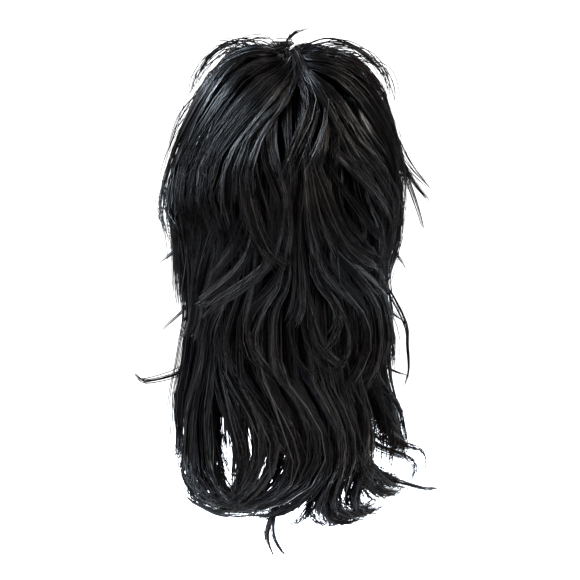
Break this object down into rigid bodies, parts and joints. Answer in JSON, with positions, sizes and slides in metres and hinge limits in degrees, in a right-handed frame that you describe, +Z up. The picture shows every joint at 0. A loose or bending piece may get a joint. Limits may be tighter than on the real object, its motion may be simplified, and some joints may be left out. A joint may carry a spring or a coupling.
{
  "type": "shaggy layered wig",
  "caption": "Black shaggy layered wig: a stretch net cap under overlapping rows of tapered locks, with a fringe, sides at the face and a long flicked mane at the nape.",
  "frame": {"origin": "inside the cap's crown, where the top of the head bears", "axes": "+X to the wearer's right, +Y the way the face looks, +Z up"},
  "size_m": [0.3087, 0.2661, 0.5016],
  "materials": {
    "hair": "glossy synthetic hair fibre, black with a cool sheen",
    "cap": "matt stretch net"
  },
  "bodies": {
    "root": {"cap": "cap", "nape_left": "hair", "nape_center": "hair", "nape_right": "hair", "lower_back_layer": "hair", "middle_back_layer": "hair", "upper_back_layer": "hair", "crown_layer": "hair", "left_side_layer": "hair", "right_side_layer": "hair", "fringe": "hair"}
  },
  "joints": []
}
